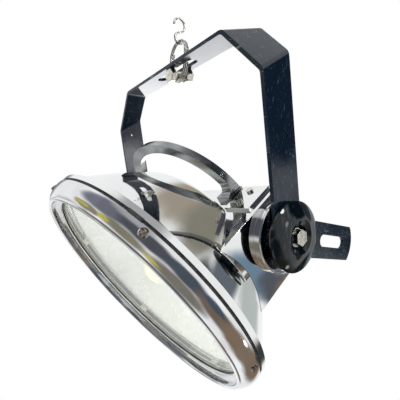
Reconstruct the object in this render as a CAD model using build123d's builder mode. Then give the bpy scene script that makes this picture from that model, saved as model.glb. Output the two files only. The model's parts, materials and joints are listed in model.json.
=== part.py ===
from build123d import *

import os
from math import atan2, cos, degrees, radians, sin, sqrt, tan

# A hanging lamp head in a flat-bar yoke, hung from an S-hook by a wire sling. Millimetres.
# The origin is the seat inside the hook's upper bend, +Z is up, and X runs along the tilting axis.

os.makedirs("parts", exist_ok=True)

# Lie of the lamp at rest, in degrees
yoke_lean = 9.8
lamp_tip = 37.8
bar_droop = 7.7

# S-hook of round wire, with its bends in the YZ plane
hook_wire_r = 1.75
hook_upper_r = 10.25
hook_lower_r = 8.5
hook_spacing = 20.0
hook_upper_open = 190.0
hook_lower_open = 350.0

# Wire sling wound in upright oval turns about the Y axis
sling_wire_r = 1.4
sling_pitch = 3.3
sling_half_turns = 5
sling_half_width = 20.0
sling_height = 62.0
sling_shoulder = 21.0
sling_tail = 9.0
wire_clearance = 0.3

# Cross bolt under the strap, with its washers and nut
cross_bolt_r = 6.0
cross_bolt_length = 37.0
cross_bolt_clearance = 0.1
cross_bolt_front = 12.5
hex_flats = 19.0
hex_head_height = 7.5
hex_nut_height = 10.0
cross_washer_r = 9.4
washer_thickness = 2.0

# Yoke of flat bar
bar_width = 50.0
bar_thickness = 5.0
yoke_width = 370.0
pivot_drop = 265.0
front_fold_run = 56.0
rear_fold_run = 38.0
fold_slope = 1.15
fold_radius = 12.0
strap_slot_length = 96.0
strap_slot_width = 20.0
bolt_shift = 8.0
arm_hole_r = 2.5
right_hole_height = 125.0
right_hole_back = 8.0
left_hole_height = 190.0

# Slotted bar beside the right arm
slotted_bar_corner = 138.0
slotted_bar_bulge = 8.0
bar_slot_length = 62.0
bar_slot_width = 16.5
bar_slot_end = 124.0

# Pivot fittings, measured outwards from the lamp's middle
pivot_bolt_r = 6.0
pivot_bolt_length = 50.0
pivot_clearance = 0.3
friction_washer_r = 30.0
friction_washer_thickness = 1.5
disc_r = 45.0
disc_skirt = 3.5
disc_height = 11.0
disc_crest_r = 21.0
disc_recess_r = 15.5
disc_floor = 2.5
disc_sag = 2.5
pivot_washer_r = 12.0
washer_clearance = 0.3
boss_r = 49.0
boss_height = 9.0
boss_edge = 1.5

# Lamp head, with radii about the lamp's axis and places forward of the pivot
lamp_axis_drop = 7.0
dish_wall = 2.0
dish_back = 4.0
dish_flat_r = 96.0
dish_shoulder = 30.0
dish_shoulder_step = 35.0
dish_flank = 86.0
dish_flank_step = 25.0
dish_centre_hole_r = 26.0
flange_lap = 0.2
flange_front = 134.0
flange_thickness = 2.2
flange_turn_depth = 8.0

gasket_set_back = 1.6
gasket_width = 6.6
gasket_thickness = 4.0
gasket_joint_angle = 53.0
gasket_joint_span = 6.0
gasket_joint_lip = 3.0

bezel_r = 205.0
bezel_depth = 26.0
bezel_bulge_drop = 3.4
bezel_bulge_front = 14.0
bezel_crest_drop = 14.5
bezel_lip_r = 3.0
bezel_channel = 19.0
bezel_wall = 2.2
seat_width = 5.5
seat_front = 13.2

glass_edge_gap = 1.5
glass_thickness = 4.0
glass_gasket_thickness = 3.0
snap_wire_r = 1.5
snap_clearance = 0.1

screw_count = 6
first_screw_angle = 41.5
bezel_screw_front = 7.5
bezel_screw_r = 2.4
bezel_screw_head_r = 4.5
bezel_screw_head = 3.0
screw_hole_clearance = 0.1
bezel_hole_clearance = 0.4
spot_face_r = 6.0
spot_face_depth = 2.6
lug_width = 16.0
lug_inner_gap = 2.3
lug_outer_gap = 1.0
lug_back = 118.0
lug_neck_back = 130.0
lug_pad_depth = 11.0
lug_neck = 5.0
lug_wall_gap = 0.3

# Reflector and lamp inside the dish
reflector_wall = 1.2
reflector_gap = 0.3
reflector_flange = 7.2
reflector_mouth = 128.0
reflector_middle_r = 120.0
reflector_middle = 56.0
reflector_hole_r = 40.0
reflector_back = 14.0
bracket_r = 38.0
bracket_thickness = 3.0
holder_r = 24.0
holder_length = 46.0
holder_tail_r = 18.0
holder_tail_length = 12.0
holder_socket_depth = 26.0
socket_clearance = 0.3
cap_r = 13.2
cap_length = 27.0
bulb_neck_r = 14.0
bulb_neck_length = 12.0
bulb_r = 30.0
bulb_wall = 1.0
bracket_screw_r = 2.0
bracket_screw_ring_r = 31.0
bracket_screw_count = 3

# Cradle behind the dish, with an end casting on each side
cradle_top = 54.0
cradle_bottom = 69.0
cradle_rear_top = 31.0
cradle_rear_bottom = 4.0
cradle_front = 84.0
cradle_wall = 4.0
end_plate = 4.0
cheek_height = 9.5
cheek_front = 100.0
cheek_rear_top = 19.0
cheek_rear_bottom = -5.0
cheek_bottom = 57.0
cheek_wall = 5.0
hub_r = 26.0
dish_gap = 0.2
end_flange_inner = 119.0
end_flange_front = 17.0
end_flange_thickness = 4.0
end_screw_r = 2.5
end_screw_inset = 12.0
end_screw_head_r = 4.5
end_screw_head = 3.0
end_screw_length = 14.0
rear_opening_width = 190.0
rear_opening_height = 66.0
rear_cover_margin = 11.0
rear_cover_thickness = 3.0
rear_screw_r = 2.0
rear_screw_head_r = 4.0
rear_screw_head = 2.5

# Cable gland through the rear cover
gland_bore_r = 5.0
gland_thread_r = 8.0
gland_collar_r = 12.0
gland_collar_height = 6.0
gland_nut_height = 12.0
gland_locknut_height = 4.0
gland_inside = 5.0
gland_clearance = 0.2

# Terminal block and earth screw on the rear cover
block_length = 46.0
block_width = 18.0
block_height = 9.0
block_offset = 52.0
earth_screw_offset = 60.0

# Bow handle on the cradle
handle_outer_a = 114.0
handle_outer_h = 113.0
handle_depth = 16.0
handle_grip_width = 12.0
handle_rear_base = 30.0
handle_rear_crown = 7.0
handle_foot_front = 2.0
handle_foot_rise = 24.0
handle_foot_thickness = 7.0
handle_foot_inner = 90.0
handle_foot_outer = 117.0
handle_screw_r = 3.0
handle_screw_head_r = 5.0
handle_screw_head = 5.0
handle_screw_depth = 12.0
handle_screw_inset = 7.0

# Radii of the rim, all taken from the bezel's outer radius
flange_r = bezel_r + flange_lap
dish_mouth_r = flange_r - flange_thickness
dish_flank_r = dish_mouth_r - dish_flank_step
dish_shoulder_r = dish_flank_r - dish_shoulder_step
gasket_outer_r = flange_r - gasket_set_back
gasket_inner_r = gasket_outer_r - gasket_width
gasket_joint_r = gasket_outer_r + gasket_joint_lip
bezel_bulge_r = bezel_r - bezel_bulge_drop
bezel_crest_r = bezel_r - bezel_crest_drop
bezel_inner_back_r = bezel_r - bezel_channel
spot_face_seat = bezel_r - spot_face_depth
glass_r = bezel_inner_back_r - glass_edge_gap
seat_inner_r = glass_r - seat_width
lug_inner_r = bezel_inner_back_r + bezel_wall + lug_inner_gap
lug_outer_r = spot_face_seat - bezel_wall - lug_outer_gap
lug_neck_r = lug_inner_r + lug_neck
reflector_flange_r = lug_inner_r - reflector_gap
reflector_mouth_r = reflector_flange_r - reflector_flange

# Directions: the yoke's upward and backward, the lamp's forward and upward
x_dir = Vector(1, 0, 0)
yoke_up = Vector(0, -sin(radians(yoke_lean)), cos(radians(yoke_lean)))
yoke_back = Vector(0, cos(radians(yoke_lean)), sin(radians(yoke_lean)))
lamp_forward = Vector(0, -cos(radians(lamp_tip)), -sin(radians(lamp_tip)))
lamp_up = Vector(0, -sin(radians(lamp_tip)), cos(radians(lamp_tip)))
bar_dir = Vector(0, cos(radians(bar_droop)), -sin(radians(bar_droop)))

# Heights down the hanging line
hook_upper_z = -(hook_upper_r - hook_wire_r)
hook_lower_z = hook_upper_z - hook_spacing
bend_room = hook_lower_r - hook_wire_r - sling_wire_r - wire_clearance
sling_top_z = hook_lower_z - sqrt(bend_room**2 - (sling_pitch / 2) ** 2)
sling_bottom_z = sling_top_z - sling_height
sling_middle_z = sling_top_z - sling_shoulder
bolt_reach = cross_bolt_r / cos(radians(yoke_lean)) + sling_pitch * sin(radians(yoke_lean))
cross_bolt_z = sling_bottom_z + sling_wire_r + wire_clearance + bolt_reach
cross_bolt_centre = Vector(0, 0, cross_bolt_z)

# The pivot hangs below the strap, and the slot's middle is above the cross bolt
strap_above_bolt = hex_flats / 2 + cross_bolt_clearance + bar_thickness
strap_back = strap_above_bolt * tan(radians(yoke_lean))
strap_centre = cross_bolt_centre + yoke_up * strap_above_bolt + yoke_back * strap_back - x_dir * bolt_shift
pivot = strap_centre - yoke_up * pivot_drop
lamp_centre = pivot - lamp_up * lamp_axis_drop

# Planes and axes that the pieces are drawn on
yoke_front = Plane(origin=pivot, x_dir=x_dir, z_dir=-yoke_back)
yoke_side = Plane(origin=pivot, x_dir=yoke_back, z_dir=x_dir)
strap_plane = Plane(origin=strap_centre, x_dir=x_dir, z_dir=yoke_up)
cross_plane = Plane(origin=cross_bolt_centre, x_dir=x_dir, z_dir=-yoke_back)
lamp_face = Plane(origin=pivot, x_dir=x_dir, z_dir=lamp_forward)
lamp_side = Plane(origin=pivot, x_dir=lamp_forward, z_dir=-x_dir)
lamp_middle = Plane(origin=pivot, x_dir=lamp_forward, z_dir=x_dir)
lamp_section = Plane(origin=lamp_centre, x_dir=lamp_up, z_dir=x_dir)
lamp_back_plane = Plane(origin=lamp_centre, x_dir=x_dir, z_dir=lamp_forward)
lamp_axis = Axis(lamp_centre, lamp_forward)
pivot_axis = Axis(pivot, x_dir)

# Places along the pivot axis, from the lamp's middle outwards
arm_outer = yoke_width / 2
arm_inner = arm_outer - bar_thickness
right_disc_back = arm_outer + bar_thickness
left_disc_back = arm_outer
boss_end = arm_inner - friction_washer_thickness
washer_bore_r = pivot_bolt_r + washer_clearance
cheek_face = boss_end - boss_height
end_outer = cheek_face - cheek_height
cradle_half_width = end_outer - end_plate

# Rear face of the cradle, which slopes from its top edge to its bottom edge
rear_top_edge = pivot + lamp_up * cradle_top - lamp_forward * cradle_rear_top
rear_bottom_edge = pivot - lamp_up * cradle_bottom - lamp_forward * cradle_rear_bottom
rear_up = (rear_top_edge - rear_bottom_edge).normalized()
rear_middle = (rear_top_edge + rear_bottom_edge) * 0.5
rear_out = rear_up.cross(x_dir)
rear_plane = Plane(origin=rear_middle, x_dir=-x_dir, z_dir=rear_out)
rear_axis = Axis(rear_middle, rear_out)
rear_screw_spacing_x = rear_opening_width + rear_cover_margin
rear_screw_spacing_y = rear_opening_height + rear_cover_margin
cover_width = rear_screw_spacing_x + rear_cover_margin
cover_height = rear_screw_spacing_y + rear_cover_margin
gland_length = gland_nut_height + gland_collar_height + rear_cover_thickness + gland_inside

# Places on the cradle's top, with x to the right and y to the rear
top_plane = Plane(origin=pivot + lamp_up * cradle_top, x_dir=x_dir, z_dir=lamp_up)
end_screw_x = (end_flange_inner + cradle_half_width) / 2
end_screw_places = (-end_screw_x, end_screw_x)
end_screw_front = end_flange_front - end_screw_inset
end_screw_rear = end_screw_inset - cradle_rear_top
handle_foot_x = (handle_foot_inner + handle_foot_outer) / 2
handle_screw_places = [
    (side * (handle_foot_x + inset), (handle_foot_front + handle_rear_base) / 2)
    for side in (-1, 1)
    for inset in (-handle_screw_inset, handle_screw_inset)
]

# Places along the lamp's axis
bezel_back = flange_front + gasket_thickness
bezel_front = bezel_back + bezel_depth
glass_front = bezel_back + seat_front - bezel_wall - glass_gasket_thickness
glass_back = glass_front - glass_thickness
dish_inner_back = dish_back + dish_wall


def turned_plane(angle, radius=0.0, forward=0.0):
    """Plane through the lamp's axis, with radius along its x and forward along its y."""
    outward = x_dir * cos(radians(angle)) + lamp_up * sin(radians(angle))
    origin = lamp_centre + outward * radius + lamp_forward * forward
    return Plane(origin=origin, x_dir=outward, z_dir=outward.cross(lamp_forward))


def radial_plane(angle, radius, forward):
    """Plane square to a radius of the lamp, for screws that point at its axis."""
    outward = x_dir * cos(radians(angle)) + lamp_up * sin(radians(angle))
    origin = lamp_centre + outward * radius + lamp_forward * forward
    return Plane(origin=origin, x_dir=lamp_forward, z_dir=outward)


def across_plane(distance, outward=1):
    """Plane square to the pivot axis, at a distance from the lamp's middle on the right or left side."""
    return Plane(origin=pivot + x_dir * (distance * outward), x_dir=lamp_forward, z_dir=x_dir * outward)


def screw_angles():
    """Angles of the bezel screws round the lamp."""
    return [first_screw_angle + 360 / screw_count * index for index in range(screw_count)]


def dish_outline(shrink):
    """Face of the dish's outer form in the lamp's section, drawn in all round by shrink."""
    flank_angle = atan2(dish_flank_r - dish_shoulder_r, dish_flank - dish_shoulder)
    inward = shrink * cos(flank_angle)
    forward = shrink * sin(flank_angle)
    back = dish_back + shrink
    mouth = flange_front - flange_thickness / 2
    with BuildSketch(Plane.XY) as outline:
        with BuildLine():
            base = Line((0, back), (dish_flat_r, back))
            shoulder = (dish_shoulder_r - inward, dish_shoulder + forward)
            corner = TangentArc(base @ 1, shoulder, tangent=(1, 0))
            flank = ThreePointArc(
                corner @ 1,
                (dish_flank_r - inward, dish_flank + forward),
                (dish_mouth_r - inward, mouth),
            )
            Polyline(flank @ 1, (0, mouth), (0, back))
        make_face()
    return outline.sketch


def lamp_ring(inner_r, outer_r, back, depth):
    """Ring section of the lamp, inside a sketch on the lamp's section."""
    with Locations((inner_r, back)):
        Rectangle(outer_r - inner_r, depth, align=Align.MIN)


def cradle_outline(shrink):
    """Side face of the cradle, drawn in by shrink, with forward along x and up along y."""
    slope = (cradle_rear_top - cradle_rear_bottom) / (cradle_top + cradle_bottom)
    rear_shift = shrink * sqrt(1 + slope**2)
    with BuildSketch(Plane.XY) as outline:
        with BuildLine():
            Polyline(
                (cradle_front, cradle_top - shrink),
                (rear_shift - cradle_rear_top + slope * shrink, cradle_top - shrink),
                (rear_shift - cradle_rear_bottom - slope * shrink, shrink - cradle_bottom),
                (cradle_front, shrink - cradle_bottom),
                close=True,
            )
        make_face()
    return outline.sketch


def cheek_block(shrink):
    """Tapered block between the end plate's outer face and the cheek's, drawn in and moved in by shrink."""
    with BuildPart() as block:
        with BuildSketch(lamp_side.offset(shrink - end_outer)) as base:
            add(cradle_outline(shrink))
        with BuildSketch(lamp_side.offset(shrink - cheek_face)) as face:
            with BuildLine():
                Polyline(
                    (cheek_front, cradle_top - shrink),
                    (shrink - cheek_rear_top, cradle_top - shrink),
                    (shrink - cheek_rear_bottom, shrink - cheek_bottom),
                    (cheek_front, shrink - cheek_bottom),
                    close=True,
                )
            make_face()
        loft([base.sketch, face.sketch], ruled=True)
    return block.part


def finish_piece(builder, label):
    """Names a finished piece and writes it."""
    builder.part.label = label
    export_step(builder.part, f"parts/{label}.step")


# S-hook: two bends joined by a straight that touches both
bend_sum = hook_upper_r + hook_lower_r
cross_angle = degrees(atan2(bend_sum, sqrt(hook_spacing**2 - bend_sum**2)))
hook_plane = Plane(origin=(0, 0, 0), x_dir=(0, 1, 0), z_dir=(1, 0, 0))
with BuildPart() as s_hook:
    with BuildLine(hook_plane) as hook_path:
        upper_turn = -hook_upper_open - cross_angle
        lower_turn = hook_lower_open - 180 + cross_angle
        upper_bend = CenterArc((0, hook_upper_z), hook_upper_r, hook_upper_open, upper_turn)
        lower_bend = CenterArc((0, hook_lower_z), hook_lower_r, 180 - cross_angle, lower_turn)
        Line(upper_bend @ 1, lower_bend @ 0)
    with BuildSketch(Plane(origin=hook_path.wire() @ 0, z_dir=hook_path.wire() % 0)):
        Circle(hook_wire_r)
    sweep()
finish_piece(s_hook, "s_hook")


# Wire sling: quarter turns about the Y axis, each of two tangent arcs, with straight tails
def joint_between(start, start_dir, end, end_dir):
    """Point where two arcs of equal reach meet, tangent to both end directions."""
    gap = end - start
    both = start_dir + end_dir
    a = both.dot(both) - 4
    b = -2 * gap.dot(both)
    c = gap.dot(gap)
    reach = (-b - sqrt(b * b - 4 * a * c)) / (2 * a)
    return (start + start_dir * reach + end - end_dir * reach) * 0.5


def sling_stop(quarter):
    """Place and direction of the wire after so many quarter turns from the right-hand side."""
    y = sling_pitch * (quarter - sling_half_turns) / 4
    rise = sling_pitch / 4 / sling_half_width
    places = (
        (Vector(sling_half_width, y, sling_middle_z), Vector(0, rise, -1)),
        (Vector(0, y, sling_bottom_z), Vector(-1, rise, 0)),
        (Vector(-sling_half_width, y, sling_middle_z), Vector(0, rise, 1)),
        (Vector(0, y, sling_top_z), Vector(1, rise, 0)),
    )
    place, direction = places[quarter % 4]
    return place, direction.normalized()


with BuildPart() as wire_sling:
    with BuildLine() as sling_path:
        first_place, first_dir = sling_stop(0)
        Line(first_place - first_dir * sling_tail, first_place)
        for quarter in range(2 * sling_half_turns):
            start, start_dir = sling_stop(quarter)
            end, end_dir = sling_stop(quarter + 1)
            joint = joint_between(start, start_dir, end, end_dir)
            first_arc = TangentArc(start, joint, tangent=start_dir)
            TangentArc(joint, end, tangent=first_arc % 1)
        last_place, last_dir = sling_stop(2 * sling_half_turns)
        Line(last_place, last_place + last_dir * sling_tail)
    with BuildSketch(Plane(origin=sling_path.wire() @ 0, z_dir=sling_path.wire() % 0)):
        Circle(sling_wire_r)
    sweep()
finish_piece(wire_sling, "wire_sling")

# The sling's least gap to itself, between points more than half a turn apart along the wire
sling_wire = sling_path.wire()
sample_count = 400
samples = [sling_wire @ (index / sample_count) for index in range(sample_count + 1)]
apart = int(sample_count / sling_half_turns)
nearest = min((a - b).length for i, a in enumerate(samples) for b in samples[i + apart :])
print("wire_sling least gap to itself", round(nearest - 2 * sling_wire_r, 3))

# Cross bolt, whose hexagon lies flat against the strap, with its two washers and nut
with BuildPart() as cross_bolt:
    with BuildSketch(cross_plane.offset(cross_bolt_front)):
        RegularPolygon(hex_flats / 2, 6, major_radius=False)
    extrude(amount=hex_head_height)
    with BuildSketch(cross_plane.offset(cross_bolt_front)):
        Circle(cross_bolt_r)
    extrude(amount=-cross_bolt_length)
finish_piece(cross_bolt, "cross_bolt")

with BuildPart() as cross_washers:
    for washer_front in (cross_bolt_front, washer_thickness - cross_bolt_front):
        with BuildSketch(cross_plane.offset(washer_front)):
            Circle(cross_washer_r)
            Circle(cross_bolt_r + washer_clearance, mode=Mode.SUBTRACT)
        extrude(amount=-washer_thickness)
finish_piece(cross_washers, "cross_washers")

with BuildPart() as cross_nut:
    with BuildSketch(cross_plane.offset(-cross_bolt_front)):
        RegularPolygon(hex_flats / 2, 6, major_radius=False)
        Circle(cross_bolt_r, mode=Mode.SUBTRACT)
    extrude(amount=-hex_nut_height)
finish_piece(cross_nut, "cross_nut")

# Yoke: one flat bar folded askew at two corners, with rounded arm ends and a slot through the strap


def yoke_block(shrink):
    """Solid under the yoke's outer faces, drawn in by shrink, with its two folds cut askew and rounded."""
    with BuildPart() as block:
        with BuildSketch(yoke_front):
            with Locations((0, pivot_drop - shrink)):
                Rectangle(
                    2 * (arm_outer - shrink),
                    pivot_drop + 2 * bar_width,
                    align=(Align.CENTER, Align.MAX),
                )
        extrude(amount=bar_width / 2, both=True)
        for side in (-1, 1):
            corner = pivot + x_dir * (side * arm_outer) + yoke_up * pivot_drop
            strap_end = corner - x_dir * (side * front_fold_run) - yoke_back * (bar_width / 2)
            arm_end = corner - yoke_up * (front_fold_run * fold_slope) - yoke_back * (bar_width / 2)
            rear_end = corner - x_dir * (side * rear_fold_run) + yoke_back * (bar_width / 2)
            outward = ((arm_end - strap_end).cross(rear_end - strap_end) * side).normalized()
            split(bisect_by=Plane(origin=strap_end - outward * shrink, z_dir=outward), keep=Keep.BOTTOM)
        folds = block.edges().filter_by(
            lambda edge: abs((edge @ 1 - edge @ 0).dot(yoke_back)) > bar_width / 2
            and (edge @ 0 - pivot).dot(yoke_up) > 0
        )
        fillet(folds, fold_radius - shrink)
    return block.part


with BuildPart() as yoke:
    add(yoke_block(0))
    add(yoke_block(bar_thickness), mode=Mode.SUBTRACT)
    with BuildSketch(yoke_side):
        Circle(bar_width / 2)
        Rectangle(bar_width, pivot_drop, align=(Align.CENTER, Align.MIN))
    extrude(amount=yoke_width, both=True, mode=Mode.INTERSECT)
    with BuildSketch(strap_plane):
        SlotOverall(strap_slot_length, strap_slot_width)
    extrude(amount=-bar_thickness, mode=Mode.SUBTRACT)
    with BuildSketch(yoke_side):
        Circle(pivot_bolt_r + pivot_clearance)
    extrude(amount=yoke_width, both=True, mode=Mode.SUBTRACT)
    with BuildSketch(yoke_side):
        with Locations((right_hole_back, right_hole_height)):
            Circle(arm_hole_r)
    extrude(amount=yoke_width, mode=Mode.SUBTRACT)
    with BuildSketch(yoke_side):
        with Locations((0, left_hole_height)):
            Circle(arm_hole_r)
    extrude(amount=-yoke_width, mode=Mode.SUBTRACT)
finish_piece(yoke, "yoke")

# Slotted bar against the outside of the right arm
bar_plane = Plane(origin=pivot + x_dir * arm_outer, x_dir=bar_dir, z_dir=x_dir)
bar_half = bar_width / 2
bar_tip = slotted_bar_corner + slotted_bar_bulge
with BuildPart() as slotted_bar:
    with BuildSketch(bar_plane):
        with BuildLine():
            top_edge = Line((0, bar_half), (slotted_bar_corner, bar_half))
            far_end = ThreePointArc(top_edge @ 1, (bar_tip, 0), (slotted_bar_corner, -bar_half))
            low_edge = Line(far_end @ 1, (0, -bar_half))
            ThreePointArc(low_edge @ 1, (-bar_half, 0), (0, bar_half))
        make_face()
        Circle(pivot_bolt_r + pivot_clearance, mode=Mode.SUBTRACT)
        with Locations((bar_slot_end - bar_slot_length / 2, 0)):
            SlotOverall(bar_slot_length, bar_slot_width, mode=Mode.SUBTRACT)
    extrude(amount=bar_thickness)
finish_piece(slotted_bar, "slotted_bar")

# Pivot fittings on both sides: the right ones sit one bar thickness further out
side_discs = ((1, right_disc_back, "right"), (-1, left_disc_back, "left"))

for outward, disc_back, side_name in side_discs:
    disc_top = disc_back + disc_height
    crest_middle_r = (disc_r + disc_crest_r) / 2
    with BuildPart() as pivot_disc:
        with BuildSketch(lamp_face):
            with BuildLine():
                back_line = Line((outward * disc_back, washer_bore_r), (outward * disc_back, disc_r))
                skirt = Line(back_line @ 1, (outward * (disc_back + disc_skirt), disc_r))
                dome = ThreePointArc(
                    skirt @ 1,
                    (outward * (disc_top - disc_sag), crest_middle_r),
                    (outward * disc_top, disc_crest_r),
                )
                Polyline(
                    dome @ 1,
                    (outward * (disc_top - disc_sag), disc_recess_r),
                    (outward * (disc_back + disc_floor), disc_recess_r),
                    (outward * (disc_back + disc_floor), washer_bore_r),
                    back_line @ 0,
                )
            make_face()
        revolve(axis=pivot_axis)
    finish_piece(pivot_disc, f"pivot_disc_{side_name}")

with BuildPart() as pivot_washers:
    for outward, disc_back, side_name in side_discs:
        with BuildSketch(across_plane(disc_back + disc_floor, outward)):
            Circle(pivot_washer_r)
            Circle(washer_bore_r, mode=Mode.SUBTRACT)
        extrude(amount=washer_thickness)
finish_piece(pivot_washers, "pivot_washers")

with BuildPart() as pivot_bolts:
    for outward, disc_back, side_name in side_discs:
        head_back = disc_back + disc_floor + washer_thickness
        with BuildSketch(across_plane(head_back, outward)):
            RegularPolygon(hex_flats / 2, 6, major_radius=False)
        extrude(amount=hex_head_height)
        with BuildSketch(across_plane(head_back, outward)):
            Circle(pivot_bolt_r)
        extrude(amount=-pivot_bolt_length)
finish_piece(pivot_bolts, "pivot_bolts")

with BuildPart() as pivot_nuts:
    for outward, disc_back, side_name in side_discs:
        with BuildSketch(across_plane(cradle_half_width, outward)):
            RegularPolygon(hex_flats / 2, 6, major_radius=False)
            Circle(pivot_bolt_r, mode=Mode.SUBTRACT)
        extrude(amount=-hex_nut_height)
finish_piece(pivot_nuts, "pivot_nuts")

with BuildPart() as friction_washers:
    for outward, disc_back, side_name in side_discs:
        with BuildSketch(across_plane(boss_end, outward)):
            Circle(friction_washer_r)
            Circle(washer_bore_r, mode=Mode.SUBTRACT)
        extrude(amount=friction_washer_thickness)
finish_piece(friction_washers, "friction_washers")

# Dish: a spun shell with a flat back, a rounded corner, a flared mouth and a turned flange
dish_inside = dish_outline(dish_wall)
with BuildPart() as dish:
    with BuildSketch(lamp_section):
        add(dish_outline(0))
        add(dish_inside, mode=Mode.SUBTRACT)
        lamp_ring(dish_mouth_r - dish_wall / 2, flange_r, flange_front - flange_thickness, flange_thickness)
        flange_turn_back = flange_front - flange_turn_depth
        lamp_ring(flange_r - flange_thickness, flange_r, flange_turn_back, flange_turn_depth)
    revolve(axis=lamp_axis)
    with BuildSketch(lamp_back_plane.offset(dish_back)):
        Circle(dish_centre_hole_r)
        with PolarLocations(bracket_screw_ring_r, bracket_screw_count):
            Circle(bracket_screw_r + screw_hole_clearance)
    extrude(amount=dish_wall, mode=Mode.SUBTRACT)
finish_piece(dish, "dish")

# Form that the cradle and the castings are cut to, a small gap outside the dish
with BuildPart() as dish_form:
    with BuildSketch(lamp_section):
        add(dish_outline(-dish_gap))
    revolve(axis=lamp_axis)

# Seam gasket, with a wider joint where its ends meet
with BuildPart() as seam_gasket:
    with BuildSketch(lamp_section):
        lamp_ring(gasket_inner_r, gasket_outer_r, flange_front, gasket_thickness)
    revolve(axis=lamp_axis)
    with BuildSketch(turned_plane(gasket_joint_angle - gasket_joint_span / 2)):
        lamp_ring(gasket_inner_r, gasket_joint_r, flange_front, gasket_thickness)
    revolve(axis=lamp_axis, revolution_arc=-gasket_joint_span)
finish_piece(seam_gasket, "seam_gasket")

# Bezel: a rolled channel ring with a bulged outside and an inner seat for the glass
lip_centre_f = bezel_front - bezel_lip_r
with BuildPart() as bezel:
    with BuildSketch(lamp_section) as bezel_section:
        with BuildLine():
            outside = ThreePointArc(
                (bezel_r, bezel_back),
                (bezel_bulge_r, bezel_back + bezel_bulge_front),
                (bezel_crest_r + bezel_lip_r, lip_centre_f),
            )
            lip = ThreePointArc(
                outside @ 1,
                (bezel_crest_r, bezel_front),
                (bezel_crest_r - bezel_lip_r, lip_centre_f),
            )
            Polyline(lip @ 1, (bezel_inner_back_r, bezel_back), (bezel_r, bezel_back))
        make_face()
        offset(amount=-bezel_wall, mode=Mode.SUBTRACT)
        channel_r = bezel_inner_back_r + bezel_wall
        lamp_gap = bezel_r - bezel_wall - channel_r
        with Locations((channel_r, bezel_back)):
            Rectangle(lamp_gap, 2 * bezel_wall, align=Align.MIN, mode=Mode.SUBTRACT)
        lamp_ring(
            seat_inner_r,
            bezel_inner_back_r + bezel_wall,
            bezel_back + seat_front - bezel_wall,
            bezel_wall,
        )
    revolve(axis=lamp_axis)
    for angle in screw_angles():
        with BuildSketch(radial_plane(angle, channel_r, bezel_back + bezel_screw_front)):
            Circle(bezel_screw_r + bezel_hole_clearance)
        extrude(amount=bezel_r - channel_r, mode=Mode.SUBTRACT)
        with BuildSketch(radial_plane(angle, spot_face_seat, bezel_back + bezel_screw_front)):
            Circle(spot_face_r)
        extrude(amount=bezel_r - spot_face_seat, mode=Mode.SUBTRACT)
finish_piece(bezel, "bezel")

# Lugs inside the dish's mouth, each with a pad that its bezel screw goes into
with BuildPart() as bezel_lugs:
    for angle in screw_angles():
        with BuildSketch(turned_plane(angle).offset(-lug_width / 2)):
            add(dish_outline(dish_wall + lug_wall_gap))
            with Locations((lug_inner_r, lug_back)):
                Rectangle(
                    flange_r - lug_inner_r,
                    flange_front - lug_back,
                    align=Align.MIN,
                    mode=Mode.INTERSECT,
                )
            pad_back = bezel_back + bezel_screw_front - lug_pad_depth / 2
            lamp_ring(lug_inner_r, lug_neck_r, lug_neck_back, pad_back - lug_neck_back)
            lamp_ring(lug_inner_r, lug_outer_r, pad_back, lug_pad_depth)
        extrude(amount=lug_width)
    for angle in screw_angles():
        with BuildSketch(radial_plane(angle, lug_inner_r, bezel_back + bezel_screw_front)):
            Circle(bezel_screw_r + screw_hole_clearance)
        extrude(amount=lug_outer_r - lug_inner_r, mode=Mode.SUBTRACT)
finish_piece(bezel_lugs, "bezel_lugs")

with BuildPart() as bezel_screws:
    for angle in screw_angles():
        with BuildSketch(radial_plane(angle, lug_inner_r, bezel_back + bezel_screw_front)):
            Circle(bezel_screw_r)
        extrude(amount=spot_face_seat - lug_inner_r)
        with BuildSketch(radial_plane(angle, spot_face_seat, bezel_back + bezel_screw_front)):
            Circle(bezel_screw_head_r)
        extrude(amount=bezel_screw_head)
finish_piece(bezel_screws, "bezel_screws")

# Glass with its gasket, held to the bezel's seat by a round snap ring
with BuildPart() as glass:
    with BuildSketch(lamp_section):
        lamp_ring(0, glass_r, glass_back, glass_thickness)
    revolve(axis=lamp_axis)
finish_piece(glass, "glass")

with BuildPart() as glass_gasket:
    with BuildSketch(lamp_section):
        lamp_ring(seat_inner_r, glass_r, glass_front, glass_gasket_thickness)
    revolve(axis=lamp_axis)
finish_piece(glass_gasket, "glass_gasket")

with BuildPart() as snap_ring:
    with BuildSketch(lamp_section):
        with Locations((glass_r - snap_wire_r, glass_back - snap_wire_r - snap_clearance)):
            Circle(snap_wire_r)
    revolve(axis=lamp_axis)
finish_piece(snap_ring, "snap_ring")


def reflector_outline(shrink):
    """Face of the reflector's bowl, drawn in by shrink."""
    with BuildSketch(Plane.XY) as outline:
        with BuildLine():
            bowl = ThreePointArc(
                (reflector_hole_r, reflector_back + shrink),
                (reflector_middle_r - shrink, reflector_middle + shrink / 2),
                (reflector_mouth_r - shrink, reflector_mouth),
            )
            Polyline(bowl @ 1, (0, reflector_mouth), (0, reflector_back + shrink), bowl @ 0)
        make_face()
    return outline.sketch


with BuildPart() as reflector:
    with BuildSketch(lamp_section):
        add(reflector_outline(0))
        add(reflector_outline(reflector_wall), mode=Mode.SUBTRACT)
        rim_r = reflector_mouth_r - reflector_wall
        lamp_ring(rim_r, reflector_flange_r, reflector_mouth - reflector_wall, reflector_wall)
    revolve(axis=lamp_axis)
    with BuildSketch(lamp_back_plane.offset(reflector_back)):
        Circle(reflector_hole_r)
    extrude(amount=2 * reflector_wall, mode=Mode.SUBTRACT)
finish_piece(reflector, "reflector")

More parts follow.
